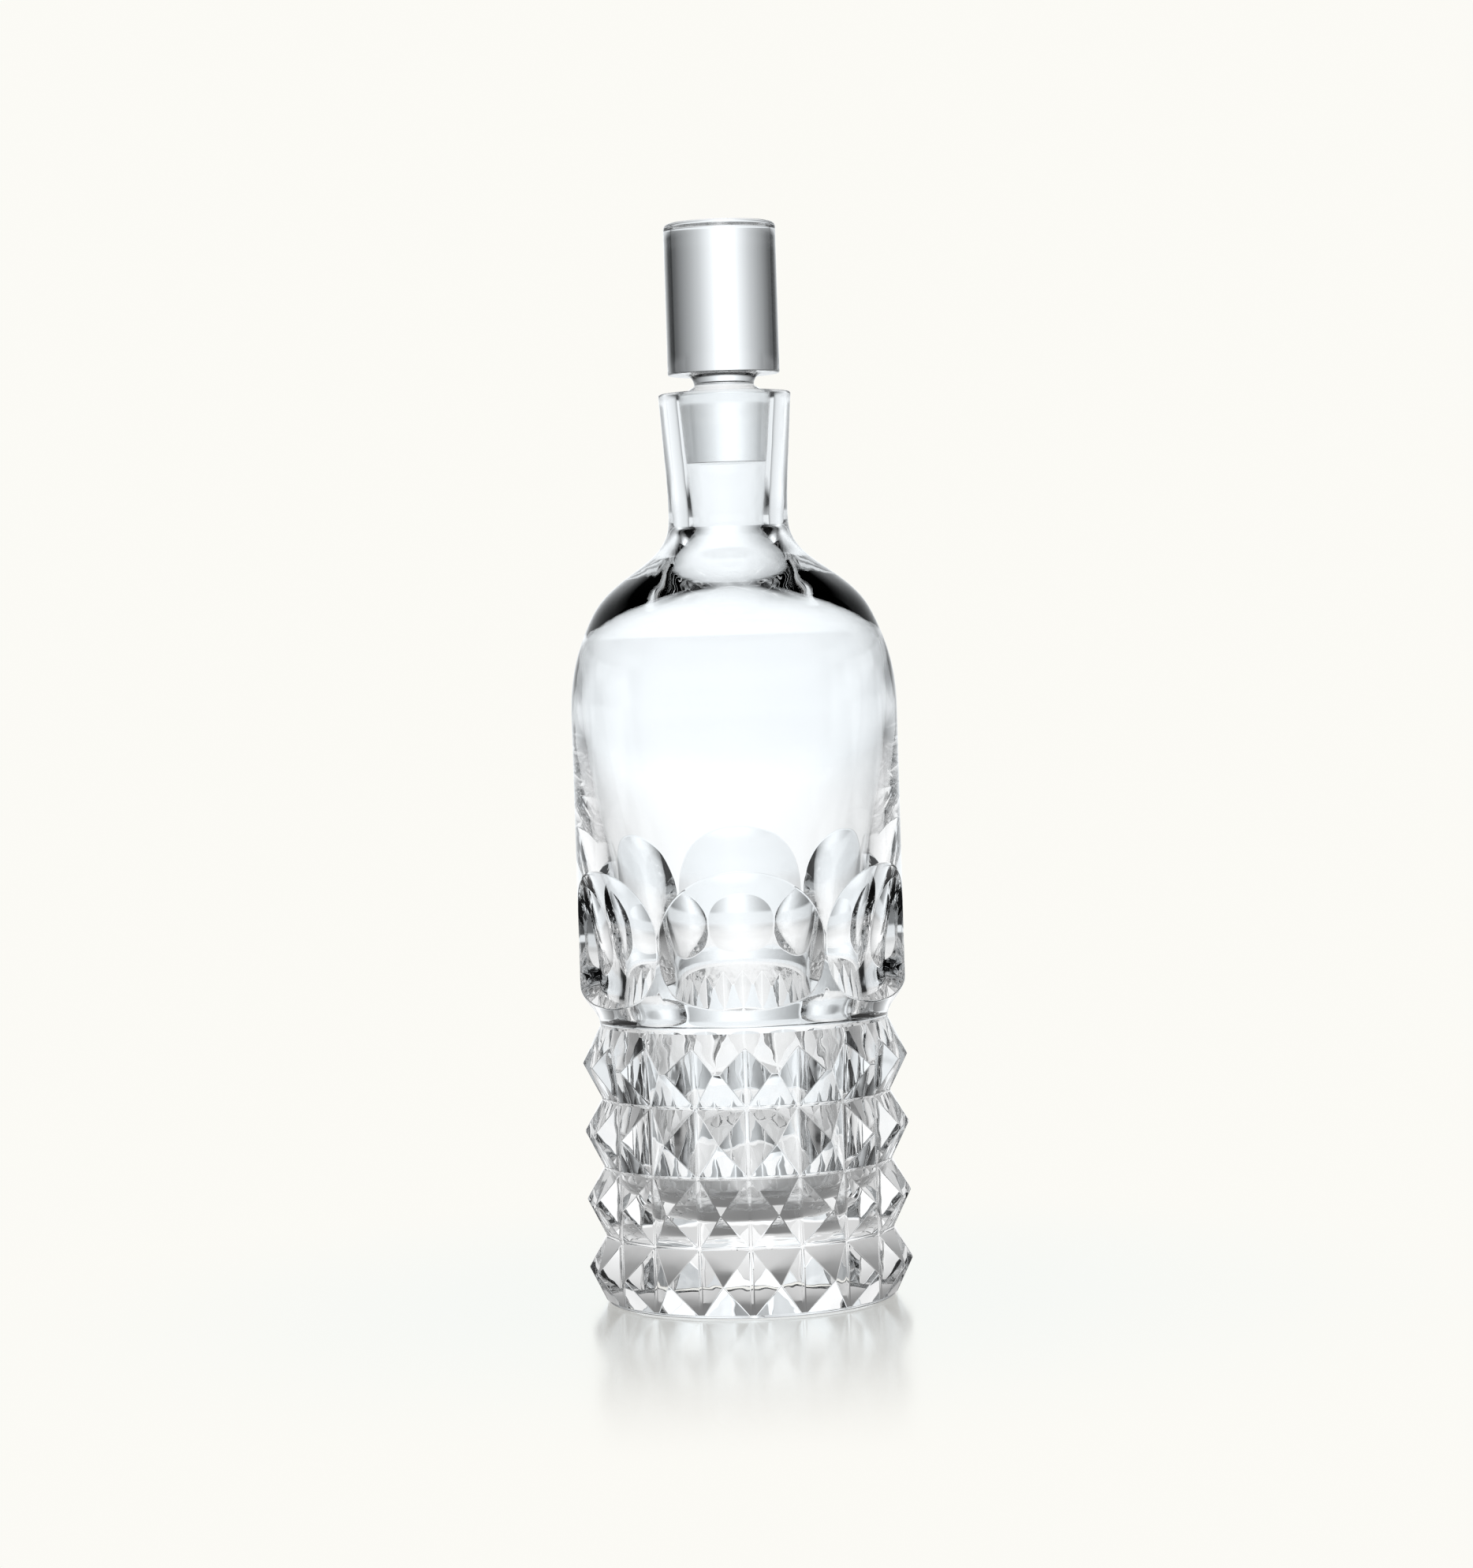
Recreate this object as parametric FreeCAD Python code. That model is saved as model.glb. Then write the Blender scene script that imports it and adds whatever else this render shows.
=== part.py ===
import FreeCAD, Part
import math
import os

# Cut lead-crystal decanter: one hollow body and one solid ground stopper. Millimetres.
# Origin: centre of the flat foot, on the table. +Z is the axis of the body, the neck and the stopper.
# -Y is the front: a valley between two columns of pyramids, and the middle of one scooped cut, face it.

# Overall
HEIGHT = 320.0
BODY_R = 48.5
# How far the cutting solids reach past the glass
CLEAR = 4.0

# Foot: ground flat, its edge rounded over
FOOT_R = 42.2
FOOT_ROUND = 1.1

# Four rings of cut pyramids
COLUMNS = 18
RING_BASE_Z = [0.0, 20.4, 40.8, 61.2]
RING_H = 20.4
POINT_Z = 10.2
VALLEY_R = 43.3
POINT_HALF_DEG = 1.2
TOP_VALLEY_Z = 77.8
TOP_VALLEY_R = 44.9

# Cove between the rings and the plain wall above
RIDGE_Z = 82.6
RIDGE_R = 43.0
COVE_END_Z = 93.3
SPLIT_Z = 84.0

# Plain wall, shoulder and neck
SHOULDER_Z = 175.0
RIM_Z = 269.7
RIM_R = 19.7
LIP_ROUND = 0.6

# Six hollow-ground scoops round the lower part of the plain wall
SCOOPS = 6
SCOOP_R = 41.0
SCOOP_AXIS_R = 82.96
SCOOP_Z = 107.4

# Inside
FLOOR_Z = 26.5
FLOOR_ROUND = 8.0
CAVITY_R = 31.5
CAVITY_TOP_R = 32.5
CAVITY_STRAIGHT_Z = 90.0

# Ground seat in the neck and the plug that fits it
SEAT_Z = 233.0
SEAT_R = 10.6
# The drilled throat below the seat meets the blown hollow here
THROAT_Z = 229.3
PLUG_Z = 248.8
PLUG_TOP_Z = 268.3
SEAT_SLOPE = 0.0882
SEAT_R_AT_PLUG = 12.0
PLUG_GAP = 0.05
PLUG_ROUND = 0.5

# Stopper waist and head
WAIST_R = 8.9
WAIST_Z = 271.6
HEAD_Z = 275.3
HEAD_FLARE_R = 12.0
HEAD_R = 16.65
HEAD_TOP_ROUND = 1.4
HEAD_LOW_ROUND = 0.5


def at(r, z):
    """A profile point in the XZ half plane."""
    return FreeCAD.Vector(r, 0, z)


def around(r, degrees, z):
    return FreeCAD.Vector(r * math.cos(math.radians(degrees)), r * math.sin(math.radians(degrees)), z)


def line(a, b):
    return Part.makeLine(a, b)


def round_edge(a, middle, b):
    return Part.Arc(a, middle, b).toShape()


def smooth(points, start, end):
    """A fair curve through the points that leaves and arrives in the given directions."""
    curve = Part.BSplineCurve()
    curve.interpolate(Points=points, InitialTangent=start, FinalTangent=end)
    return curve.toShape()


def turned(edges):
    """The solid a closed half profile makes when it turns about Z."""
    profile = Part.Face(Part.Wire(edges))
    return profile.revolve(FreeCAD.Vector(0, 0, 0), FreeCAD.Vector(0, 0, 1), 360)


def corner(centre_r, centre_z, radius, first, last):
    """A quarter or part round about (centre_r, centre_z), from one angle to another in degrees."""
    ends = []
    for degrees in (first, (first + last) / 2, last):
        turn = math.radians(degrees)
        ends.append(at(centre_r + radius * math.cos(turn), centre_z + radius * math.sin(turn)))
    return round_edge(*ends)


def seat_radius(z):
    return SEAT_R_AT_PLUG + SEAT_SLOPE * (z - PLUG_Z)


# ---- Pyramid rings: a closed shell of flat facets -------------------------------------------
def facet(*points):
    return Part.Face(Part.makePolygon(list(points) + [points[0]]))


def top_ring_ridge(mid):
    """Where the two side facets of a top-ring pyramid meet: at its bottom facet and at SPLIT_Z."""
    base_z = RING_BASE_Z[3]
    half = 180.0 / COLUMNS
    low = around(VALLEY_R, mid - half, base_z)
    high = around(TOP_VALLEY_R, mid - half, TOP_VALLEY_Z)
    tip = around(BODY_R, mid - POINT_HALF_DEG, base_z + POINT_Z)
    normal = (high - low).cross(tip - low)
    out = around(1, mid, 0)

    def ridge_r(z):
        return (normal.dot(low) - normal.z * z) / normal.dot(out)

    chord_r = VALLEY_R * math.cos(math.radians(half))
    rise = (BODY_R * math.cos(math.radians(POINT_HALF_DEG)) - chord_r) / POINT_Z
    drop = ridge_r(base_z) - ridge_r(base_z + 1)
    climb = (ridge_r(base_z) - chord_r) / (rise + drop)
    return around(ridge_r(base_z + climb), mid, base_z + climb), around(ridge_r(SPLIT_Z), mid, SPLIT_Z)


def pyramid_rings():
    faces = []
    step = 360.0 / COLUMNS
    valley_slope = (TOP_VALLEY_R - VALLEY_R) / (TOP_VALLEY_Z - RING_BASE_Z[3])
    split_valley_r = VALLEY_R + valley_slope * (SPLIT_Z - RING_BASE_Z[3])
    star = []
    for column in range(COLUMNS):
        left = -90 + column * step
        mid = left + step / 2
        right = left + step
        for base_z in RING_BASE_Z[:3]:
            low_l = around(VALLEY_R, left, base_z)
            low_r = around(VALLEY_R, right, base_z)
            high_l = around(VALLEY_R, left, base_z + RING_H)
            high_r = around(VALLEY_R, right, base_z + RING_H)
            point = around(BODY_R, mid, base_z + POINT_Z)
            faces.append(facet(low_l, low_r, point))
            faces.append(facet(low_r, high_r, point))
            faces.append(facet(high_r, high_l, point))
            faces.append(facet(high_l, low_l, point))
        base_l = around(VALLEY_R, left, RING_BASE_Z[3])
        base_r = around(VALLEY_R, right, RING_BASE_Z[3])
        ridge_low, ridge_high = top_ring_ridge(mid)
        valley_l = around(split_valley_r, left, SPLIT_Z)
        valley_r = around(split_valley_r, right, SPLIT_Z)
        faces.append(facet(base_l, base_r, ridge_low))
        faces.append(facet(base_l, ridge_low, ridge_high, valley_l))
        faces.append(facet(base_r, valley_r, ridge_high, ridge_low))
        star += [valley_l, ridge_high]
    foot = [around(VALLEY_R, -90 + column * step, 0) for column in range(COLUMNS)]
    faces.append(facet(*foot))
    faces.append(facet(*star))
    return Part.makeSolid(Part.makeShell(faces))


# ---- Decanter body ---------------------------------------------------------------------------
# The lower blank holds the rounded foot, the cone over the top ring and the start of the cove.
cone_rise = (RIDGE_Z - RING_BASE_Z[3] - POINT_Z) / (BODY_R - RIDGE_R)
cone_low_z = RING_BASE_Z[3] + POINT_Z - CLEAR * cone_rise
lower_blank = turned([
    line(at(0, 0), at(FOOT_R, 0)),
    corner(FOOT_R, FOOT_ROUND, FOOT_ROUND, -90, 0),
    line(at(FOOT_R + FOOT_ROUND, FOOT_ROUND), at(BODY_R + CLEAR, FOOT_ROUND)),
    line(at(BODY_R + CLEAR, FOOT_ROUND), at(BODY_R + CLEAR, cone_low_z)),
    line(at(BODY_R + CLEAR, cone_low_z), at(RIDGE_R, RIDGE_Z)),
    line(at(RIDGE_R, RIDGE_Z), at(RIDGE_R, SPLIT_Z)),
    line(at(RIDGE_R, SPLIT_Z), at(0, SPLIT_Z)),
    line(at(0, SPLIT_Z), at(0, 0)),
])
lower = lower_blank.common(pyramid_rings())

# The upper blank: cove, plain wall, shoulder and flared neck.
upper = turned([
    line(at(0, SPLIT_Z), at(RIDGE_R, SPLIT_Z)),
    smooth(
        [at(RIDGE_R, SPLIT_Z), at(44.7, 87.7), at(47.1, 90.5), at(BODY_R, COVE_END_Z + 1)],
        FreeCAD.Vector(0, 0, 1),
        FreeCAD.Vector(0, 0, 1),
    ),
    line(at(BODY_R, COVE_END_Z + 1), at(BODY_R, SHOULDER_Z)),
    smooth(
        [
            at(BODY_R, SHOULDER_Z), at(48.0, 183.8), at(46.3, 192.3), at(43.2, 200.7), at(38.2, 209.2),
            at(31.8, 214.9), at(24.1, 220.5), at(21.1, 223.4), at(19.2, 226.2), at(18.15, 229),
            at(17.8, 232), at(17.75, 237.5), at(18.5, 251.6),
            at(RIM_R, RIM_Z - LIP_ROUND),
        ],
        FreeCAD.Vector(0, 0, 1),
        FreeCAD.Vector(0.07, 0, 1),
    ),
    corner(RIM_R - LIP_ROUND, RIM_Z - LIP_ROUND, LIP_ROUND, 0, 90),
    line(at(RIM_R - LIP_ROUND, RIM_Z), at(0, RIM_Z)),
    line(at(0, RIM_Z), at(0, SPLIT_Z)),
])

# The hollow: flat floor, near-straight lower wall, a wide chamber under the shoulder, a short
# drilled throat and the ground seat above it.
mouth_r = seat_radius(RIM_Z)
cavity = turned([
    line(at(0, FLOOR_Z), at(CAVITY_R - FLOOR_ROUND, FLOOR_Z)),
    corner(CAVITY_R - FLOOR_ROUND, FLOOR_Z + FLOOR_ROUND, FLOOR_ROUND, -90, 0),
    line(at(CAVITY_R, FLOOR_Z + FLOOR_ROUND), at(CAVITY_TOP_R, CAVITY_STRAIGHT_Z)),
    smooth(
        [
            at(CAVITY_TOP_R, CAVITY_STRAIGHT_Z), at(35.2, 107), at(38.9, 128.4), at(41.4, 141.4),
            at(43.5, 155), at(45.1, 172), at(45.4, 183), at(44.9, 190), at(43.5, 196), at(40.6, 202),
            at(37.25, 206), at(32.8, 209.5), at(27.85, 212.5), at(22.8, 215.5), at(18.55, 218.5),
            at(15.55, 221.5), at(13.3, 224.5), at(11.55, 227.5), at(SEAT_R, THROAT_Z),
        ],
        FreeCAD.Vector(0.04, 0, 1),
        FreeCAD.Vector(-0.45, 0, 0.89),
    ),
    line(at(SEAT_R, THROAT_Z), at(SEAT_R, SEAT_Z)),
    line(at(SEAT_R, SEAT_Z), at(mouth_r - LIP_ROUND * SEAT_SLOPE, RIM_Z - LIP_ROUND)),
    corner(mouth_r + LIP_ROUND * (1 - SEAT_SLOPE), RIM_Z - LIP_ROUND, LIP_ROUND, 180, 90),
    line(at(mouth_r + LIP_ROUND * (1 - SEAT_SLOPE), RIM_Z), at(mouth_r + LIP_ROUND, RIM_Z + CLEAR)),
    line(at(mouth_r + LIP_ROUND, RIM_Z + CLEAR), at(0, RIM_Z + CLEAR)),
    line(at(0, RIM_Z + CLEAR), at(0, FLOOR_Z)),
])

body = lower.fuse(upper)
for scoop in range(SCOOPS):
    degrees = -90 + scoop * 360.0 / SCOOPS
    middle = around(SCOOP_AXIS_R, degrees, SCOOP_Z)
    along = around(1, degrees + 90, 0)
    wheel = Part.makeCylinder(SCOOP_R, 2 * BODY_R, middle - along * BODY_R, along)
    body = body.cut(wheel)
body = body.cut(cavity).removeSplitter().Solids[0]

# ---- Stopper: solid, turned as one piece -------------------------------------------------------
plug_r = seat_radius(PLUG_Z) - PLUG_GAP
plug_top_r = seat_radius(PLUG_TOP_Z) - PLUG_GAP
stopper = turned([
    line(at(0, PLUG_Z), at(plug_r - PLUG_ROUND, PLUG_Z)),
    corner(plug_r - PLUG_ROUND, PLUG_Z + PLUG_ROUND, PLUG_ROUND, -90, 0),
    line(at(plug_r, PLUG_Z + PLUG_ROUND), at(plug_top_r, PLUG_TOP_Z)),
    smooth(
        [at(plug_top_r, PLUG_TOP_Z), at(11.6, 269.9), at(9.4, 270.8), at(WAIST_R, WAIST_Z + 0.6)],
        FreeCAD.Vector(-0.35, 0, 1),
        FreeCAD.Vector(0, 0, 1),
    ),
    smooth(
        [at(WAIST_R, WAIST_Z + 0.6), at(9.7, 274.2), at(HEAD_FLARE_R, HEAD_Z)],
        FreeCAD.Vector(0, 0, 1),
        FreeCAD.Vector(1, 0, 0.1),
    ),
    line(at(HEAD_FLARE_R, HEAD_Z), at(HEAD_R - HEAD_LOW_ROUND, HEAD_Z)),
    corner(HEAD_R - HEAD_LOW_ROUND, HEAD_Z + HEAD_LOW_ROUND, HEAD_LOW_ROUND, -90, 0),
    line(at(HEAD_R, HEAD_Z + HEAD_LOW_ROUND), at(HEAD_R, HEIGHT - HEAD_TOP_ROUND)),
    corner(HEAD_R - HEAD_TOP_ROUND, HEIGHT - HEAD_TOP_ROUND, HEAD_TOP_ROUND, 0, 90),
    line(at(HEAD_R - HEAD_TOP_ROUND, HEIGHT), at(0, HEIGHT)),
    line(at(0, HEIGHT), at(0, PLUG_Z)),
])

os.makedirs("parts", exist_ok=True)
body.exportStep("parts/decanter_body.step")
stopper.exportStep("parts/stopper.step")
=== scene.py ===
import math

import bmesh
import bpy
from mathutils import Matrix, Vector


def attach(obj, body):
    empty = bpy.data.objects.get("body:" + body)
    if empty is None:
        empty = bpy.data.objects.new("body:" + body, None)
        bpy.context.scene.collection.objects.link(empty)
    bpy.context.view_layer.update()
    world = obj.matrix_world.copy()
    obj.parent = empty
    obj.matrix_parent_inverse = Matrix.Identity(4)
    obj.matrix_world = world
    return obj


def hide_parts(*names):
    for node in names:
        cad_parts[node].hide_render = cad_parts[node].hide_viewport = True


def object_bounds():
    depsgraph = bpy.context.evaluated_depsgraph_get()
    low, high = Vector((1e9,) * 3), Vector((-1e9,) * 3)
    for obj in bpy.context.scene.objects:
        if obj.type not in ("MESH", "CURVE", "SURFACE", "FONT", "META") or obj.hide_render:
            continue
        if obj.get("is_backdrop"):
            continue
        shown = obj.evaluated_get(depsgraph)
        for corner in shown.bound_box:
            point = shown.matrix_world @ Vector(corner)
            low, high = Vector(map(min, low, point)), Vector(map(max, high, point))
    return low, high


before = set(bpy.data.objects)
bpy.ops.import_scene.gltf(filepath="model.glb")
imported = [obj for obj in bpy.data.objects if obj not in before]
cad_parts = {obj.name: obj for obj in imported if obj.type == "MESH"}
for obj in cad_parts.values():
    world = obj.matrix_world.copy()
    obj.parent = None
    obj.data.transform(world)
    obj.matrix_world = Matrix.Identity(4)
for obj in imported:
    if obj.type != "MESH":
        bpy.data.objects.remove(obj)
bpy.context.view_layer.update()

# ---------------------------------------------------------------------------------------------
# Decanter body: one thick-walled piece of clear lead crystal, blown, then cut on wheels. Four rings
# of pyramids round the foot, a waist, six scooped cuts, a plain wall, a shoulder and a flared neck.
# The cuts are polished, so every facet is clear and its edges are only just broken.
# ---------------------------------------------------------------------------------------------
# Sizes are in millimetres. Heights start at the underside of the foot.
MM = 0.001

BODY_R = 48.5
FOOT_FLAT_R = 42.1
FOOT_ROUND = 1.1
RIM_Z = 269.7
RIM_R = 19.7
LIP_ROUND = 0.6

# Pyramid rings. The pyramids of the top ring have a short edge for a point, not a true point.
COLUMNS = 18
STEP = 360.0 / COLUMNS
HALF_STEP = STEP / 2
RING_Z = (0.0, 20.4, 40.8, 61.2)
POINT_Z = 10.2
VALLEY_R = 43.3
POINT_HALF = 1.2
TOP_VALLEY_Z = 77.8
TOP_VALLEY_R = 44.9

# Waist, the cove above it, and the scooped cuts: each scoop is a wheel lying across the wall.
WAIST_Z = 82.6
WAIST_R = 43.0
COVE_Z = 83.2
COVE_H = 11.1
SCOOPS = 6
SCOOP_R = 41.0
SCOOP_AXIS_R = 82.96
SCOOP_Z = 107.4
WALL_Z = 140.0
SHOULDER_Z = 175.0

# Rounding of the grooves and of the edges between facets.
GROOVE_ROUND = 0.75
EDGE_ROUND = 0.24

# The hollow, the drilled throat and the ground seat in the neck.
FLOOR_Z = 26.5
FLOOR_ROUND = 8.0
CAVITY_R = 31.5
CAVITY_STRAIGHT_Z = 90.0
CAVITY_TOP_R = 32.5
THROAT_Z = 229.3
SEAT_Z = 233.0
SEAT_R = 10.6
SEAT_SLOPE = 0.0882
SEAT_R_AT_PLUG = 12.0
PLUG_Z = 248.8

# Angles inside one column, from a valley over the point to the next valley. The two beside the
# middle lie on the ends of a top pyramid's short edge.
PER_COLUMN = 16
FIRST_END = 7
LAST_END = 9
OFFSETS = [i * STEP / PER_COLUMN for i in range(PER_COLUMN)]
OFFSETS[FIRST_END] = HALF_STEP - POINT_HALF
OFFSETS[LAST_END] = HALF_STEP + POINT_HALF
angles = [-90 + k * STEP + offset for k in range(COLUMNS) for offset in OFFSETS]


def on(r, degrees, z):
    turn = math.radians(degrees)
    return (r * math.cos(turn) * MM, r * math.sin(turn) * MM, z * MM)


def fair_curve(points, first_slope, last_slope):
    """r(z) as one even curve through (z, r) points with given end slopes."""
    zs = [p[0] for p in points]
    rs = [p[1] for p in points]
    n = len(points) - 1
    gap = [zs[i + 1] - zs[i] for i in range(n)]
    rise = [(rs[i + 1] - rs[i]) / gap[i] for i in range(n)]
    low = [0.0] + gap
    mid = [2 * gap[0]] + [2 * (gap[i - 1] + gap[i]) for i in range(1, n)] + [2 * gap[n - 1]]
    top = gap + [0.0]
    rhs = [6 * (rise[0] - first_slope)]
    rhs += [6 * (rise[i] - rise[i - 1]) for i in range(1, n)]
    rhs += [6 * (last_slope - rise[n - 1])]
    for i in range(1, n + 1):
        share = low[i] / mid[i - 1]
        mid[i] -= share * top[i - 1]
        rhs[i] -= share * rhs[i - 1]
    bend = [0.0] * (n + 1)
    bend[n] = rhs[n] / mid[n]
    for i in range(n - 1, -1, -1):
        bend[i] = (rhs[i] - top[i] * bend[i + 1]) / mid[i]

    def radius(z):
        i = max(0, min(n - 1, sum(1 for edge in zs[1:-1] if z > edge)))
        a = (zs[i + 1] - z) / gap[i]
        b = (z - zs[i]) / gap[i]
        curl = ((a ** 3 - a) * bend[i] + (b ** 3 - b) * bend[i + 1]) * gap[i] ** 2 / 6
        return a * rs[i] + b * rs[i + 1] + curl

    return radius


def spread(a, b, n):
    """n values after a, the last of them b."""
    return [a + (b - a) * (i + 1) / n for i in range(n)]


def arc(centre_r, centre_z, radius, first, last, n):
    """n + 1 profile points (r, z) on a round, from one angle to another."""
    found = []
    for i in range(n + 1):
        turn = math.radians(first + (last - first) * i / n)
        found.append((centre_r + radius * math.cos(turn), centre_z + radius * math.sin(turn)))
    return found


def bisect(f, a, b):
    """Where f changes sign between a and b."""
    start = f(a) > 0
    for _ in range(40):
        m = (a + b) / 2
        if (f(m) > 0) == start:
            a = m
        else:
            b = m
    return (a + b) / 2


def ring_of(bm, r, z, around):
    return [bm.verts.new(on(r, degrees, z)) for degrees in around]


def join_rings(bm, lower, upper):
    """Faces between two rings of the same count."""
    n = len(lower)
    for i in range(n):
        j = (i + 1) % n
        bm.faces.new((lower[i], lower[j], upper[j], upper[i]))


def glass_piece(name, bm):
    """The finished shape as an object, smooth but for the edges marked sharp."""
    bmesh.ops.recalc_face_normals(bm, faces=bm.faces)
    for face in bm.faces:
        face.smooth = True
    mesh = bpy.data.meshes.new(name)
    bm.to_mesh(mesh)
    bm.free()
    piece = bpy.data.objects.new(name, mesh)
    bpy.context.collection.objects.link(piece)
    return piece


def seat_radius(z):
    return SEAT_R_AT_PLUG + SEAT_SLOPE * (z - PLUG_Z)


bm = bmesh.new()
weight = bm.edges.layers.float.new("bevel_weight_edge")
groove_edges = []
broken_edges = []
sharp_edges = []

# Foot: flat disc, rounded edge, and the narrow ledge under the lowest facets.
foot_angles = angles[::2]
foot_rings = [ring_of(bm, r, 0, foot_angles) for r in (2, 12, 26, 38, 41.6, FOOT_FLAT_R)]
bm.faces.new(list(reversed(foot_rings[0])))
for r, z in arc(FOOT_FLAT_R, FOOT_ROUND, FOOT_ROUND, -90, 0, 6)[1:]:
    foot_rings.append(ring_of(bm, r, z, foot_angles))
for lower, upper in zip(foot_rings, foot_rings[1:]):
    join_rings(bm, lower, upper)
foot_top = foot_rings[-1]

# Groove crossings and pyramid points of the three lower rings.
corners = []
for level in (1, 2, 3):
    corners.append([bm.verts.new(on(VALLEY_R, -90 + k * STEP, RING_Z[level])) for k in range(COLUMNS)])
points = []
for level in (0, 1, 2):
    z = RING_Z[level] + POINT_Z
    points.append([bm.verts.new(on(BODY_R, -90 + k * STEP + HALF_STEP, z)) for k in range(COLUMNS)])

# The lowest ring is cut off by the foot: its bottom facets end on a short chord.
low_valley = [bm.verts.new(on(VALLEY_R, -90 + k * STEP, FOOT_ROUND)) for k in range(COLUMNS)]
cut_share = FOOT_ROUND / POINT_Z
low_chord = []
for k in range(COLUMNS):
    tip = on(BODY_R, -90 + k * STEP + HALF_STEP, POINT_Z)
    ends = []
    for base in (on(VALLEY_R, -90 + k * STEP, 0), on(VALLEY_R, -90 + (k + 1) * STEP, 0)):
        ends.append(bm.verts.new([base[i] + (tip[i] - base[i]) * cut_share for i in range(3)]))
    low_chord.append(ends)

foot_steps = PER_COLUMN // 2
for k in range(COLUMNS):
    n = (k + 1) % COLUMNS
    tip = points[0][k]
    left, right = low_chord[k]
    bm.faces.new((left, right, tip))
    bm.faces.new((right, low_valley[n], corners[0][n], tip))
    bm.faces.new((corners[0][n], corners[0][k], tip))
    bm.faces.new((corners[0][k], low_valley[k], left, tip))
    ledge = [foot_top[(k * foot_steps + i) % len(foot_top)] for i in range(foot_steps + 1)]
    bm.faces.new(ledge + [low_valley[n], right, left, low_valley[k]])
    groove_edges.append((low_valley[k], corners[0][k]))
    groove_edges.append((corners[0][k], corners[0][n]))
    broken_edges += [(left, tip), (right, tip), (corners[0][k], tip), (corners[0][n], tip)]
    sharp_edges += [(low_valley[k], left), (left, right), (right, low_valley[n])]
    for level in (1, 2):
        tip = points[level][k]
        a, b = corners[level - 1][k], corners[level - 1][n]
        c, d = corners[level][n], corners[level][k]
        for side in ((a, b), (b, c), (c, d), (d, a)):
            bm.faces.new((side[0], side[1], tip))
            broken_edges.append((side[0], tip))
        groove_edges.append((a, d))
        groove_edges.append((d, c))

# Top ring: flat facets below, one turned cone above, with a zigzag edge between them.
top_point_z = RING_Z[3] + POINT_Z
cone_rise = (WAIST_Z - top_point_z) / (BODY_R - WAIST_R)
chord_r = VALLEY_R * math.cos(math.radians(HALF_STEP))
facet_rise = (BODY_R * math.cos(math.radians(POINT_HALF)) - chord_r) / POINT_Z

# A side facet is a plane through three of its points, with its valley at angle 0.
tip_turn = math.radians(HALF_STEP - POINT_HALF)
valley_low = (VALLEY_R, 0.0, RING_Z[3])
up_valley = (TOP_VALLEY_R - VALLEY_R, 0.0, TOP_VALLEY_Z - RING_Z[3])
to_tip = (BODY_R * math.cos(tip_turn) - VALLEY_R, BODY_R * math.sin(tip_turn), POINT_Z)
side_x = up_valley[1] * to_tip[2] - up_valley[2] * to_tip[1]
side_y = up_valley[2] * to_tip[0] - up_valley[0] * to_tip[2]
side_z = up_valley[0] * to_tip[1] - up_valley[1] * to_tip[0]
side_reach = side_x * valley_low[0] + side_z * valley_low[2]


def cone_r(z):
    return BODY_R - (z - top_point_z) / cone_rise


def side_facet_r(offset, z):
    turn = math.radians(offset)
    return (side_reach - side_z * z) / (side_x * math.cos(turn) + side_y * math.sin(turn))


def low_facet_r(offset, z):
    return (chord_r + facet_rise * (z - RING_Z[3])) / math.cos(math.radians(offset - HALF_STEP))


def zigzag_z(offset):
    """Height where the facets run out through the cone above them."""
    near = min(offset, STEP - offset)
    if near <= HALF_STEP - POINT_HALF + 0.01:
        return bisect(lambda z: side_facet_r(near, z) - cone_r(z), top_point_z - 2, top_point_z + 9)
    return bisect(lambda z: low_facet_r(offset, z) - cone_r(z), top_point_z - 2, top_point_z + 4)


zigzag = []
for k in range(COLUMNS):
    row = []
    for offset in OFFSETS:
        z = zigzag_z(offset)
        row.append(bm.verts.new(on(cone_r(z), -90 + k * STEP + offset, z)))
    zigzag.append(row)
waist = ring_of(bm, WAIST_R, WAIST_Z, angles)
for k in range(COLUMNS):
    n = (k + 1) % COLUMNS
    row = zigzag[k] + [zigzag[n][0]]
    a, b = corners[2][k], corners[2][n]
    bm.faces.new([a, b] + list(reversed(row[FIRST_END:LAST_END + 1])))
    bm.faces.new([a] + list(reversed(row[:FIRST_END + 1])))
    bm.faces.new([b] + list(reversed(row[LAST_END:])))
    groove_edges.append((a, row[0]))
    broken_edges += [(a, row[FIRST_END]), (b, row[LAST_END])]
    broken_edges += list(zip(row, row[1:]))
    for i in range(PER_COLUMN):
        high_a = waist[k * PER_COLUMN + i]
        high_b = waist[(k * PER_COLUMN + i + 1) % len(waist)]
        bm.faces.new((row[i], row[i + 1], high_b, high_a))

# Cove, scooped cuts and plain wall. The rows follow the outline of each scoop, so its edge is crisp.
# Rows lie at BREAK from the edge on both sides, and again HOLD further, so the rounding stays narrow.
BREAK = 0.26
HOLD = 0.12
EDGE_EASE = 0.06
SCOOP_LOWEST_Z = 84.5
SCOOP_HIGHEST_Z = 134.0


def cove_r(z):
    """The waist rises into the plain wall over one even S-shaped cove."""
    t = max(0.0, min(1.0, (z - COVE_Z) / COVE_H))
    return WAIST_R + (BODY_R - WAIST_R) * t * t * (3 - 2 * t)


def scoop_r(angle, z):
    """Distance from the decanter's axis to the face of the nearest scoop."""
    pitch = 360 / SCOOPS
    from_middle = (angle + 90 + pitch / 2) % pitch - pitch / 2
    depth = SCOOP_AXIS_R - math.sqrt(max(0.0, SCOOP_R ** 2 - (z - SCOOP_Z) ** 2))
    return depth / math.cos(math.radians(from_middle))


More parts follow.
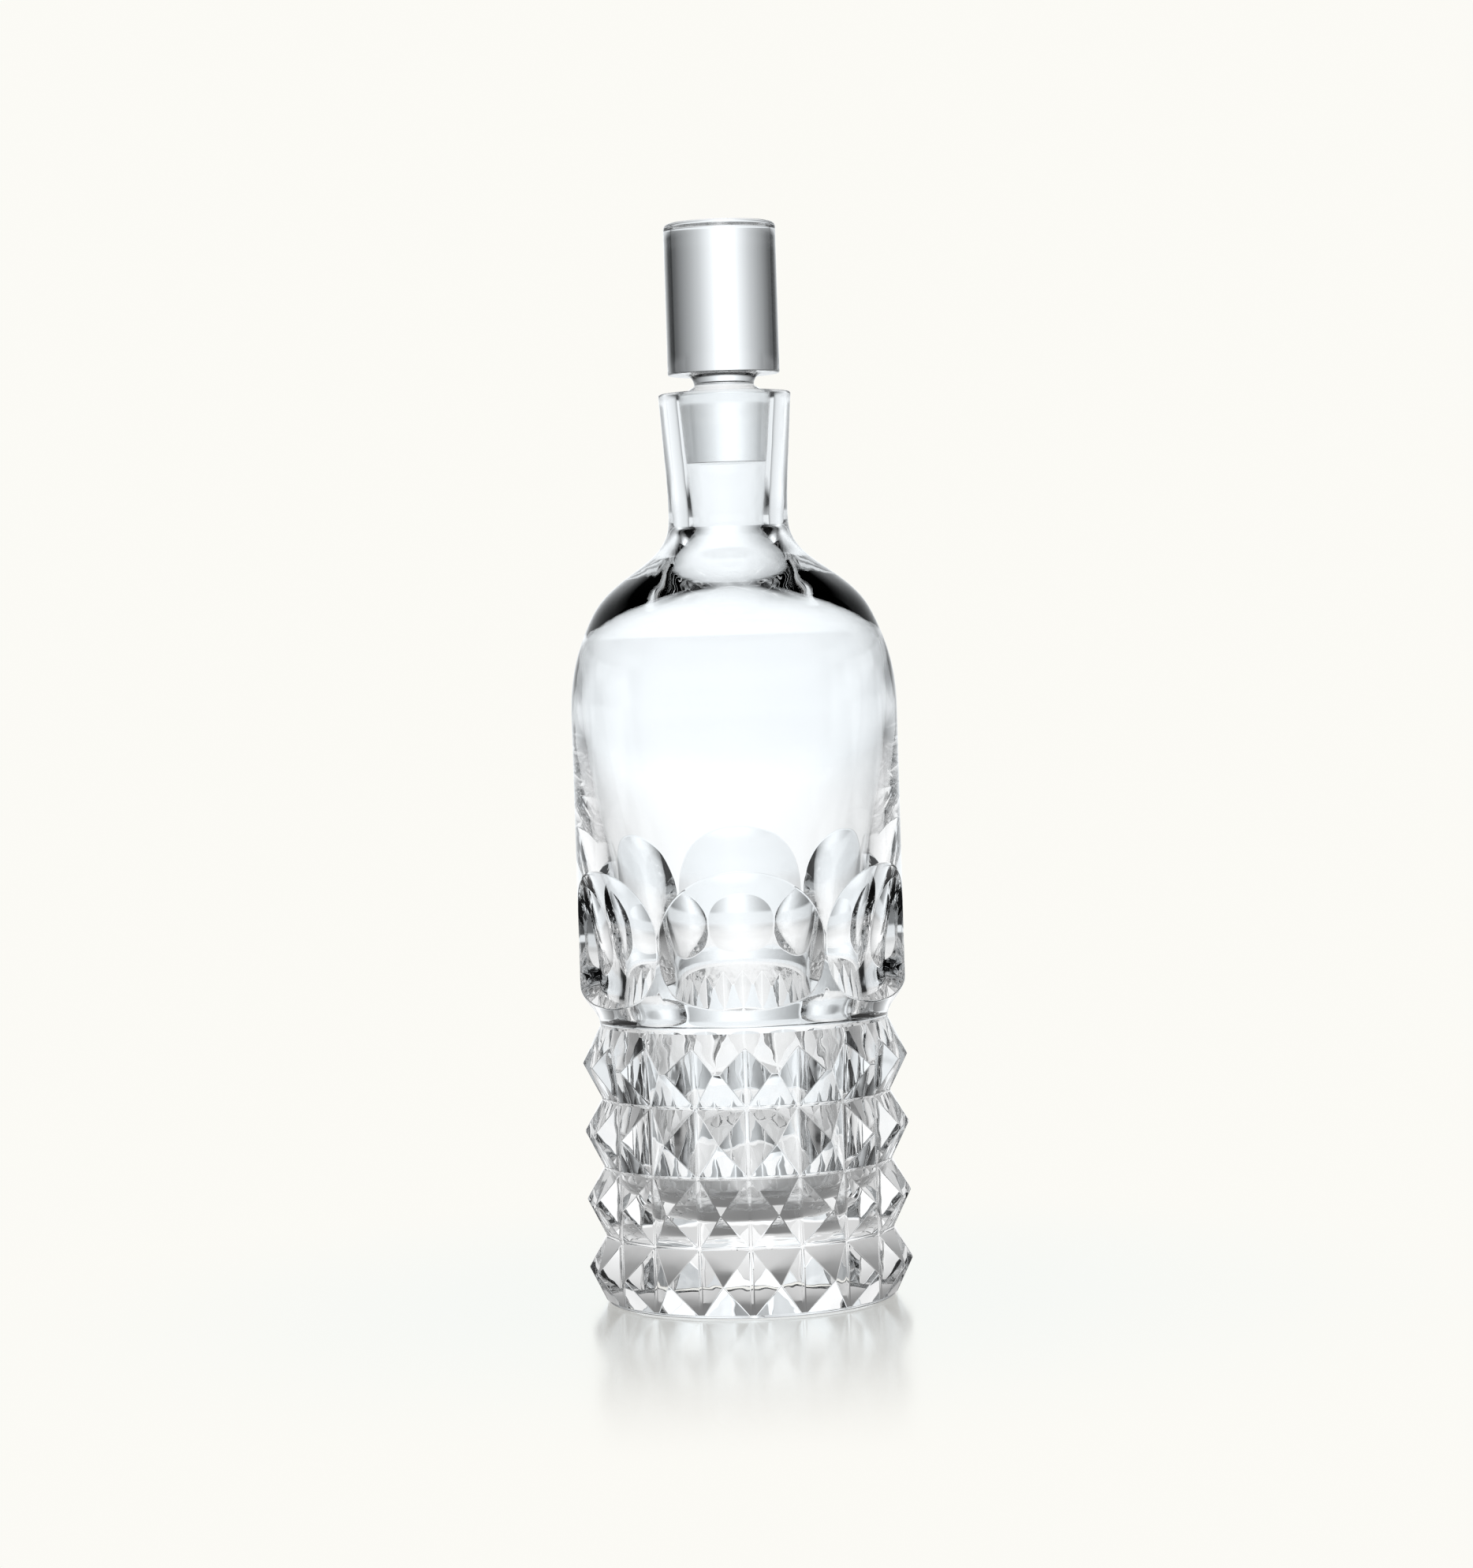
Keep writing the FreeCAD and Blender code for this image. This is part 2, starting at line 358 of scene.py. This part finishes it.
edge_z = {}
for angle in angles:
    low = bisect(lambda z: scoop_r(angle, z) - cove_r(z), SCOOP_LOWEST_Z, SCOOP_Z - 0.2)
    high = bisect(lambda z: scoop_r(angle, z) - cove_r(z), SCOOP_Z + 0.2, SCOOP_HIGHEST_Z)
    edge_z[angle] = (low, high)


def wall_row(share, low_z, high_z, inside):
    """A row that lies at one share of the way between two heights, in the scoops or on the wall."""
    row = []
    for angle in angles:
        a, b = low_z(angle), high_z(angle)
        z = a + (b - a) * share
        r = scoop_r(angle, z) if inside else cove_r(z)
        row.append(bm.verts.new(on(r, angle, z)))
    return row


def edge_row(which):
    """The broken edge itself, eased a little below the meeting line of the two surfaces."""
    row = []
    for angle in angles:
        z = edge_z[angle][which]
        row.append(bm.verts.new(on(cove_r(z) - EDGE_EASE, angle, z)))
    return row


rows = [waist]
for share in spread(0, 1, 18):
    rows.append(wall_row(share, lambda a: WAIST_Z, lambda a: edge_z[a][0] - BREAK - HOLD, False))
rows.append(wall_row(1, lambda a: WAIST_Z, lambda a: edge_z[a][0] - BREAK, False))
rows.append(edge_row(0))
rows.append(wall_row(0, lambda a: edge_z[a][0] + BREAK, lambda a: edge_z[a][1], True))
for share in [0.0] + spread(0, 1, 16):
    rows.append(wall_row(
        share,
        lambda a: edge_z[a][0] + BREAK + HOLD,
        lambda a: edge_z[a][1] - BREAK - HOLD,
        True,
    ))
rows.append(wall_row(1, lambda a: edge_z[a][0], lambda a: edge_z[a][1] - BREAK, True))
rows.append(edge_row(1))
rows.append(wall_row(0, lambda a: edge_z[a][1] + BREAK, lambda a: WALL_Z, False))
for share in [0.0] + spread(0, 1, 5):
    rows.append(wall_row(share, lambda a: edge_z[a][1] + BREAK + HOLD, lambda a: WALL_Z, False))

# Plain wall, shoulder, neck and lip, as (z, r) points of one even curve.
shoulder = fair_curve(
    (
        (SHOULDER_Z, BODY_R), (183.8, 48.0), (192.3, 46.3), (200.7, 43.2), (209.2, 38.2),
        (214.9, 31.8), (220.5, 24.1), (223.4, 21.1), (226.2, 19.2), (229, 18.15), (232, 17.8),
        (237.5, 17.75), (251.6, 18.5), (RIM_Z - LIP_ROUND, RIM_R),
    ),
    0.0,
    0.07,
)
NECK_FOOT_Z = 235.0
profile = [(BODY_R, z) for z in spread(WALL_Z, SHOULDER_Z, 4)]
profile += [(shoulder(z), z) for z in spread(SHOULDER_Z, 205, 18) + spread(205, NECK_FOOT_Z, 30)]
profile += [(shoulder(z), z) for z in spread(NECK_FOOT_Z, RIM_Z - LIP_ROUND, 14)]
profile += arc(RIM_R - LIP_ROUND, RIM_Z - LIP_ROUND, LIP_ROUND, 0, 90, 5)[1:]

# Over the lip, down the ground seat, into the drilled throat and down the blown hollow.
mouth_r = seat_radius(RIM_Z) + LIP_ROUND * (1 - SEAT_SLOPE)
profile += [(r, RIM_Z) for r in spread(RIM_R - LIP_ROUND, mouth_r, 4)]
profile += arc(mouth_r, RIM_Z - LIP_ROUND, LIP_ROUND, 90, 180, 5)[1:]
profile += [(seat_radius(z), z) for z in spread(RIM_Z - LIP_ROUND, SEAT_Z, 10)]
chamber = fair_curve(
    (
        (CAVITY_STRAIGHT_Z, CAVITY_TOP_R), (107, 35.2), (128.4, 38.9), (141.4, 41.4), (155, 43.5),
        (172, 45.1), (183, 45.4), (190, 44.9), (196, 43.5), (202, 40.6), (206, 37.25), (209.5, 32.8),
        (212.5, 27.85), (215.5, 22.8), (218.5, 18.55), (221.5, 15.55), (224.5, 13.3), (227.5, 11.55),
        (THROAT_Z, SEAT_R),
    ),
    0.04,
    -0.5,
)
# Three close rows keep the corner at the foot of the throat crisp.
profile += [(SEAT_R, THROAT_Z + 0.25), (SEAT_R + 0.04, THROAT_Z)]
profile += [(chamber(z), z) for z in spread(THROAT_Z - 0.2, 222, 12) + spread(222, 195, 40)]
profile += [(chamber(z), z) for z in spread(195, 165, 16) + spread(165, CAVITY_STRAIGHT_Z, 24)]
profile += arc(CAVITY_R - FLOOR_ROUND, FLOOR_Z + FLOOR_ROUND, FLOOR_ROUND, 0, -90, 16)
profile += [(r, FLOOR_Z) for r in (23.0, 22.0, 18.0, 12.0, 6.0, 2.0)]
rows += [ring_of(bm, r, z, angles) for r, z in profile]
for lower, upper in zip(rows, rows[1:]):
    join_rings(bm, lower, upper)
bm.faces.new(rows[-1])

for a, b in groove_edges:
    bm.edges.get((a, b))[weight] = 1.0
for a, b in broken_edges:
    bm.edges.get((a, b))[weight] = EDGE_ROUND / GROOVE_ROUND
for a, b in sharp_edges + list(zip(waist, waist[1:] + waist[:1])):
    bm.edges.get((a, b)).smooth = False

decanter = glass_piece("decanter_glass", bm)
ease = decanter.modifiers.new("broken edges", "BEVEL")
ease.limit_method = "WEIGHT"
ease.width = GROOVE_ROUND * MM
ease.segments = 3
ease.profile = 0.5
ease.use_clamp_overlap = False
ease.harden_normals = True

CRYSTAL_TINT = (0.985, 0.992, 0.995, 1)
CRYSTAL_IOR = 1.55


def node(tree, kind, **values):
    """A new node with its sockets or settings given by name."""
    made = tree.nodes.new("ShaderNode" + kind)
    for name, value in values.items():
        if name in made.inputs:
            made.inputs[name].default_value = value
        else:
            setattr(made, name, value)
    return made


def graded(tree, source, start, end, first=0.0, last=1.0, curve="LINEAR"):
    """A value that runs from first to last while its source runs from start to end."""
    made = node(tree, "MapRange", interpolation_type=curve)
    made.inputs["From Min"].default_value = start
    made.inputs["From Max"].default_value = end
    made.inputs["To Min"].default_value = first
    made.inputs["To Max"].default_value = last
    tree.links.new(source, made.inputs["Value"])
    return made.outputs[0]


def polish_group():
    """Acid polish leaves every cut surface slightly wavy: a normal for a given wave size and depth."""
    tree = bpy.data.node_groups.new("acid_polish", "ShaderNodeTree")
    tree.interface.new_socket("Position", in_out="INPUT", socket_type="NodeSocketVector")
    tree.interface.new_socket("Amount", in_out="INPUT", socket_type="NodeSocketFloat")
    tree.interface.new_socket("Waves per metre", in_out="INPUT", socket_type="NodeSocketFloat")
    tree.interface.new_socket("Depth", in_out="INPUT", socket_type="NodeSocketFloat")
    tree.interface.new_socket("Normal", in_out="OUTPUT", socket_type="NodeSocketVector")
    given = tree.nodes.new("NodeGroupInput")
    result = tree.nodes.new("NodeGroupOutput")
    waves = node(tree, "TexNoise", Detail=1.0, Roughness=0.35)
    bump = node(tree, "Bump")
    tree.links.new(given.outputs["Position"], waves.inputs["Vector"])
    tree.links.new(given.outputs["Waves per metre"], waves.inputs["Scale"])
    tree.links.new(given.outputs["Amount"], bump.inputs["Strength"])
    tree.links.new(given.outputs["Depth"], bump.inputs["Distance"])
    tree.links.new(waves.outputs[0], bump.inputs["Height"])
    tree.links.new(bump.outputs["Normal"], result.inputs["Normal"])
    return tree


acid_polish = polish_group()


def polished_crystal(name, waves_per_metre, depth):
    """Clear lead crystal: gives the material, its polish, its shader and the height on the piece."""
    crystal = bpy.data.materials.new(name)
    crystal.use_nodes = True
    tree = crystal.node_tree
    glass = tree.nodes["Principled BSDF"]
    glass.inputs["Base Color"].default_value = CRYSTAL_TINT
    glass.inputs["IOR"].default_value = CRYSTAL_IOR
    glass.inputs["Transmission Weight"].default_value = 1.0
    where = node(tree, "TexCoord")
    apart = node(tree, "SeparateXYZ")
    tree.links.new(where.outputs["Object"], apart.inputs[0])
    polish = node(tree, "Group", node_tree=acid_polish)
    polish.inputs["Waves per metre"].default_value = waves_per_metre
    polish.inputs["Depth"].default_value = depth
    tree.links.new(where.outputs["Object"], polish.inputs["Position"])
    tree.links.new(polish.outputs["Normal"], glass.inputs["Normal"])
    return crystal, polish, glass, apart.outputs["Z"]


# The cut rings are wavier than the plain wall, and the flat of the foot is slightly worn.
RING_WAVES = 1.0
WALL_WAVES = 0.12
RINGS_END_Z = 80.0
WALL_START_Z = 86.0
FOOT_WEAR = 0.06
WEAR_END_Z = 1.2
crystal, polish, glass, height = polished_crystal("crystal_body", 150.0, 0.00018)
tree = crystal.node_tree
amount = graded(tree, height, RINGS_END_Z * MM, WALL_START_Z * MM, RING_WAVES, WALL_WAVES)
tree.links.new(amount, polish.inputs["Amount"])
tree.links.new(graded(tree, height, 0.0, WEAR_END_Z * MM, FOOT_WEAR, 0.0), glass.inputs["Roughness"])
decanter.data.materials.append(crystal)
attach(decanter, "decanter")
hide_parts("decanter_body")

# ---------------------------------------------------------------------------------------------
# Stopper: one solid piece of the same crystal. A plain cylinder head, a short waist and a tapered
# plug that is ground to sit in the neck.
# ---------------------------------------------------------------------------------------------
HEIGHT = 320.0
HEAD_Z = 275.3
HEAD_R = 16.65
HEAD_FLARE_R = 12.0
HEAD_TOP_ROUND = 1.4
HEAD_LOW_ROUND = 0.5
STEM_R = 8.9
STEM_Z = 272.2
PLUG_TOP_Z = 268.3
PLUG_GAP = 0.05
PLUG_ROUND = 0.5
STOPPER_SIDES = 192

plug_r = seat_radius(PLUG_Z) - PLUG_GAP
plug_top_r = seat_radius(PLUG_TOP_Z) - PLUG_GAP
profile = [(r, PLUG_Z) for r in (1.0, 4.0, 8.0, 10.6, 11.3)]
profile += arc(plug_r - PLUG_ROUND, PLUG_Z + PLUG_ROUND, PLUG_ROUND, -90, 0, 5)
for z in spread(PLUG_Z + PLUG_ROUND, PLUG_TOP_Z, 10):
    profile.append((plug_r + SEAT_SLOPE * (z - PLUG_Z), z))
for t in spread(0, 1, 14):
    r = plug_top_r + (STEM_R - plug_top_r) * t * t * (3 - 2 * t)
    profile.append((r, PLUG_TOP_Z + (STEM_Z - PLUG_TOP_Z) * t ** 0.8))
for turn in spread(0, math.pi / 2, 12):
    r = STEM_R + (HEAD_FLARE_R - STEM_R) * (1 - math.cos(turn))
    profile.append((r, STEM_Z + (HEAD_Z - STEM_Z) * math.sin(turn)))
profile += [(r, HEAD_Z) for r in (12.3, 14.0, 15.9)]
profile += arc(HEAD_R - HEAD_LOW_ROUND, HEAD_Z + HEAD_LOW_ROUND, HEAD_LOW_ROUND, -90, 0, 5)
profile += [(HEAD_R, z) for z in spread(HEAD_Z + HEAD_LOW_ROUND, HEIGHT - HEAD_TOP_ROUND, 6)]
profile += arc(HEAD_R - HEAD_TOP_ROUND, HEIGHT - HEAD_TOP_ROUND, HEAD_TOP_ROUND, 0, 90, 8)[1:]
profile += [(r, HEIGHT) for r in (15.0, 14.4, 10.0, 5.0, 1.0)]

bm = bmesh.new()
around = [i * 360 / STOPPER_SIDES for i in range(STOPPER_SIDES)]
rings = [ring_of(bm, r, z, around) for r, z in profile]
bm.faces.new(list(reversed(rings[0])))
for lower, upper in zip(rings, rings[1:]):
    join_rings(bm, lower, upper)
bm.faces.new(rings[-1])
stopper = glass_piece("stopper_glass", bm)

# The top of the plug shows a matt band where it was ground in. It fades in and out over a short way.
BAND_Z = (260.0, 261.2, 268.0, 268.6)
BAND_MATT = 0.16
STOPPER_WAVES = 0.1
crystal, polish, glass, height = polished_crystal("crystal_stopper", 90.0, 0.00016)
tree = crystal.node_tree
polish.inputs["Amount"].default_value = STOPPER_WAVES
band = node(tree, "Math", operation="MULTIPLY")
tree.links.new(graded(tree, height, BAND_Z[0] * MM, BAND_Z[1] * MM), band.inputs[0])
tree.links.new(graded(tree, height, BAND_Z[2] * MM, BAND_Z[3] * MM, 1.0, 0.0), band.inputs[1])
tree.links.new(graded(tree, band.outputs[0], 0.0, 1.0, 0.0, BAND_MATT), glass.inputs["Roughness"])
stopper.data.materials.append(crystal)
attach(stopper, "stopper")
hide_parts("stopper")

# ---------------------------------------------------------------------------------------------
# Table: a plain pale table top with a soft gloss. It shows pale to the eye; to the glass it glows with
# painted light, as such a table does under a bright backdrop: most at the back, least in painted shade of
# the decanter.
# ---------------------------------------------------------------------------------------------
PALE = (0.969, 0.96, 0.917, 1)
STUDIO_LIGHT = 1.35
# Metres from the decanter's axis: where the shade at the foot gives way to the open table, where the
# table starts to fade out, where it ends, and where its gloss is strongest and where it is gone.
SHADE_END = 0.1
OPEN_START = 0.32
FADE_START = 0.35
TABLE_R = 0.9
GLOSS_STRONGEST = 0.04
GLOSS_GONE = 0.25
GLOSS_SHARE = 0.56
GLOSS_BLUR = 0.16
GLOSS_TINT = (0.92, 0.97, 1.0, 1)

# Stops as (place, brightness). Round the foot, place is the share of half a turn from the back.
TABLE_ROUND = ((0.0, 1.0), (0.1, 0.95), (0.2, 0.78), (0.35, 0.5), (0.6, 0.34), (1.0, 0.28))
# The same for the far table and for the low light beyond it.
LOW_ROUND = (
    (0.0, 0.86), (0.06, 0.81), (0.12, 0.73), (0.25, 0.58), (0.29, 0.4), (0.31, 0.02), (0.55, 0.02),
    (0.61, 0.32), (0.7, 0.45), (1.0, 0.5),
)
# Place is the distance from the decanter's axis in metres. Darker near the foot: painted shade of the
# decanter.
TABLE_NEAR = ((0.0, 0.5), (0.05, 0.56), (0.12, 0.85), (0.25, 1.0), (1.0, 1.0))


def stepped(tree, source, stops):
    """A grey that follows its source through the given stops."""
    ramp = node(tree, "ValToRGB")
    tree.links.new(source, ramp.inputs[0])
    elements = ramp.color_ramp.elements
    while len(elements) > 1:
        elements.remove(elements[-1])
    elements[0].position = stops[0][0]
    elements[0].color = (stops[0][1],) * 3 + (1,)
    for place, value in stops[1:]:
        elements.new(place).color = (value,) * 3 + (1,)
    return ramp.outputs["Color"]


def fed(tree, made, **sources):
    """A mixing node with its sockets fed by name; gives its result."""
    for name, source in sources.items():
        tree.links.new(source, made.inputs[name])
    return made.outputs["Result"]


def multiplied(tree, a, b):
    return fed(tree, node(tree, "Mix", data_type="RGBA", blend_type="MULTIPLY", Factor=1), A=a, B=b)


def added(tree, a, b):
    return fed(tree, node(tree, "Mix", data_type="RGBA", blend_type="ADD", Factor=1), A=a, B=b)


def between(tree, factor, a, b):
    return fed(tree, node(tree, "Mix", data_type="RGBA"), Factor=factor, A=a, B=b)


def calculated(tree, operation, a, b=None, **settings):
    """One sum on a socket, with a number or a second socket."""
    made = node(tree, "Math", operation=operation, **settings)
    tree.links.new(a, made.inputs[0])
    if isinstance(b, float):
        made.inputs[1].default_value = b
    elif b is not None:
        tree.links.new(b, made.inputs[1])
    return made.outputs[0]


def either_shader(tree, factor, a, b):
    made = node(tree, "MixShader")
    tree.links.new(factor, made.inputs["Fac"])
    tree.links.new(a, made.inputs[1])
    tree.links.new(b, made.inputs[2])
    return made.outputs[0]


bm = bmesh.new()
hub = bm.verts.new((0, 0, 0))
rim = ring_of(bm, TABLE_R / MM, 0, range(0, 360, 4))
for a, b in zip(rim, rim[1:] + rim[:1]):
    bm.faces.new((hub, a, b))
mesh = bpy.data.meshes.new("table_top")
bm.to_mesh(mesh)
bm.free()
table_top = bpy.data.objects.new("table_top", mesh)
bpy.context.collection.objects.link(table_top)
table_top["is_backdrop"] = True

pale = bpy.data.materials.new("pale_table")
pale.use_nodes = True
tree = pale.node_tree
tree.nodes.clear()
where = node(tree, "TexCoord")
distance = node(tree, "VectorMath", operation="LENGTH")
tree.links.new(where.outputs["Object"], distance.inputs[0])
apart = node(tree, "SeparateXYZ")
tree.links.new(where.outputs["Object"], apart.inputs[0])
off_back = calculated(tree, "ARCTAN2", apart.outputs["X"], apart.outputs["Y"])
off_share = calculated(tree, "DIVIDE", calculated(tree, "ABSOLUTE", off_back), math.pi)
far_off = graded(tree, distance.outputs["Value"], SHADE_END, OPEN_START)
round_foot = stepped(tree, off_share, TABLE_ROUND)
brightness = between(tree, far_off, round_foot, stepped(tree, off_share, LOW_ROUND))
brightness = multiplied(tree, brightness, stepped(tree, distance.outputs["Value"], TABLE_NEAR))
# The glass sees this glow as painted light: bright at the back, with painted shade round the foot.
glow = node(tree, "Emission", Strength=STUDIO_LIGHT)
tree.links.new(brightness, glow.inputs["Color"])
clear = node(tree, "BsdfTransparent")
edge_share = graded(tree, distance.outputs["Value"], FADE_START, TABLE_R - 0.02)
to_glass = either_shader(tree, edge_share, glow.outputs[0], clear.outputs[0])
seen = node(tree, "Emission", Color=PALE)
gloss = node(tree, "BsdfGlossy", Roughness=GLOSS_BLUR, Color=GLOSS_TINT)
gloss_share = graded(
    tree, distance.outputs["Value"], GLOSS_STRONGEST, GLOSS_GONE, GLOSS_SHARE, 0.0, "SMOOTHSTEP",
)
to_eye = either_shader(tree, gloss_share, seen.outputs[0], gloss.outputs[0])
path = node(tree, "LightPath")
out = node(tree, "OutputMaterial")
tree.links.new(either_shader(tree, path.outputs["Is Camera Ray"], to_glass, to_eye), out.inputs["Surface"])
mesh.materials.append(pale)

# ---------------------------------------------------------------------------------------------
# Studio: a pale backdrop, bright in the middle and darker to the sides and above, with a low strip
# light and a dim screen at each side, and a camera a little above the middle of the decanter.
# ---------------------------------------------------------------------------------------------
# Brightness round the room. Place is the share of half a turn from the middle of the backdrop.
BACKDROP = (
    (0.0, 1.0), (5 / 180, 0.95), (8 / 180, 0.86), (10.5 / 180, 0.76), (15 / 180, 0.62),
    (19.5 / 180, 0.49), (25 / 180, 0.38), (30 / 180, 0.29), (37 / 180, 0.19), (46 / 180, 0.1),
    (53 / 180, 0.07), (54.5 / 180, 0.01), (0.58, 0.01), (0.7, 0.22), (1.0, 0.28),
)
STRIP_ROUND = ((0.0, 0.0), (0.3, 0.0), (0.315, 0.68), (0.5, 0.68), (0.53, 0.0), (1.0, 0.0))
SCREEN_ROUND = (
    (0.0, 0.0), (0.36, 0.0), (0.43, 0.25), (0.5, 0.42), (0.57, 0.32), (0.64, 0.12), (0.7, 0.0), (1.0, 0.0),
)
# The same by height. Place is the share of the way from straight down to straight up.
BACKDROP_UP = (
    (0.0, 1.0), (78 / 180, 1.0), (82 / 180, 0.0), (90.6 / 180, 0.0), (93 / 180, 1.0), (1.0, 1.0),
)
STRIP_UP = (
    (0.0, 0.0), (82.5 / 180, 0.0), (85 / 180, 1.0), (91 / 180, 1.0), (92.5 / 180, 0.0), (1.0, 0.0),
)
SCREEN_UP = (
    (0.0, 0.0), (72 / 180, 0.0), (76 / 180, 1.0), (82 / 180, 1.0), (85 / 180, 0.0), (91 / 180, 0.0),
    (93 / 180, 1.0), (101 / 180, 1.0), (106 / 180, 0.0), (1.0, 0.0),
)
CEILING = ((0.0, 1.0), (118 / 180, 1.0), (124 / 180, 0.4), (128 / 180, 0.01), (1.0, 0.01))
STUDIO_TINT = (0.94, 0.975, 1.0, 1)
# Degrees: how far the backdrop is turned to one side, and where the studio floor starts and is full.
BACKDROP_TURN = 3
FLOOR_FROM = -12
FLOOR_FULL = -28
FLOOR_GREY = (0.7, 0.7, 0.7, 1)

# The camera: lens and sensor in millimetres, distance in metres, height as a share of the decanter's,
# and how far it looks down and leans, in degrees.
LENS = 91.6
SENSOR = 36
CAMERA_AWAY = 1.19
CAMERA_UP_SHARE = 0.6
CAMERA_DOWN = 1.86
CAMERA_LEAN = -1.8

world = bpy.data.worlds.new("studio")
bpy.context.scene.world = world
world.use_nodes = True
tree = world.node_tree
tree.nodes.clear()
coord = node(tree, "TexCoord")
split = node(tree, "SeparateXYZ")
tree.links.new(coord.outputs["Generated"], split.inputs[0])
side = calculated(tree, "ARCTAN2", split.outputs["X"], split.outputs["Y"])
turn = calculated(tree, "ABSOLUTE", calculated(tree, "ADD", side, math.radians(BACKDROP_TURN)))
share = calculated(tree, "DIVIDE", turn, math.pi)
rise = calculated(tree, "ARCSINE", split.outputs["Z"])
level = graded(tree, rise, math.radians(-90), math.radians(90))
low_light = stepped(tree, share, LOW_ROUND)
light = between(tree, stepped(tree, level, BACKDROP_UP), low_light, stepped(tree, share, BACKDROP))
light = multiplied(tree, light, stepped(tree, level, CEILING))
strips = multiplied(tree, stepped(tree, share, STRIP_ROUND), stepped(tree, level, STRIP_UP))
screens = multiplied(tree, stepped(tree, share, SCREEN_ROUND), stepped(tree, level, SCREEN_UP))
light = added(tree, added(tree, light, strips), screens)
below = graded(tree, rise, math.radians(FLOOR_FROM), math.radians(FLOOR_FULL))
to_floor = node(tree, "Mix", data_type="RGBA")
to_floor.inputs["B"].default_value = FLOOR_GREY
light = fed(tree, to_floor, Factor=below, A=light)
tinted = node(tree, "Mix", data_type="RGBA", blend_type="MULTIPLY", Factor=1)
tinted.inputs["B"].default_value = STUDIO_TINT
light = fed(tree, tinted, A=light)
studio = node(tree, "Background", Strength=STUDIO_LIGHT)
tree.links.new(light, studio.inputs["Color"])

# The eye and the soft gloss of the table see the plain pale backdrop; the glass sees the studio.
seen = node(tree, "Background", Color=PALE)
path = node(tree, "LightPath")
soft_gloss = calculated(
    tree, "SUBTRACT", path.outputs["Is Glossy Ray"], path.outputs["Is Singular Ray"], use_clamp=True,
)
direct = calculated(tree, "MAXIMUM", path.outputs["Is Camera Ray"], soft_gloss)
out = node(tree, "OutputWorld")
tree.links.new(either_shader(tree, direct, studio.outputs[0], seen.outputs[0]), out.inputs["Surface"])

scene = bpy.context.scene
scene.view_settings.view_transform = "Standard"
scene.cycles.max_bounces = 24
scene.cycles.transmission_bounces = 24
scene.cycles.glossy_bounces = 12

low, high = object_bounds()
camera_data = bpy.data.cameras.new("camera")
camera_data.lens = LENS
camera_data.sensor_width = SENSOR
camera = bpy.data.objects.new("camera", camera_data)
bpy.context.collection.objects.link(camera)
camera.location = ((low.x + high.x) / 2, -CAMERA_AWAY, CAMERA_UP_SHARE * high.z)
camera.rotation_mode = "XYZ"
camera.rotation_euler = (math.radians(90 - CAMERA_DOWN), 0, 0)
camera.rotation_euler.rotate_axis("Z", math.radians(CAMERA_LEAN))
scene.camera = camera
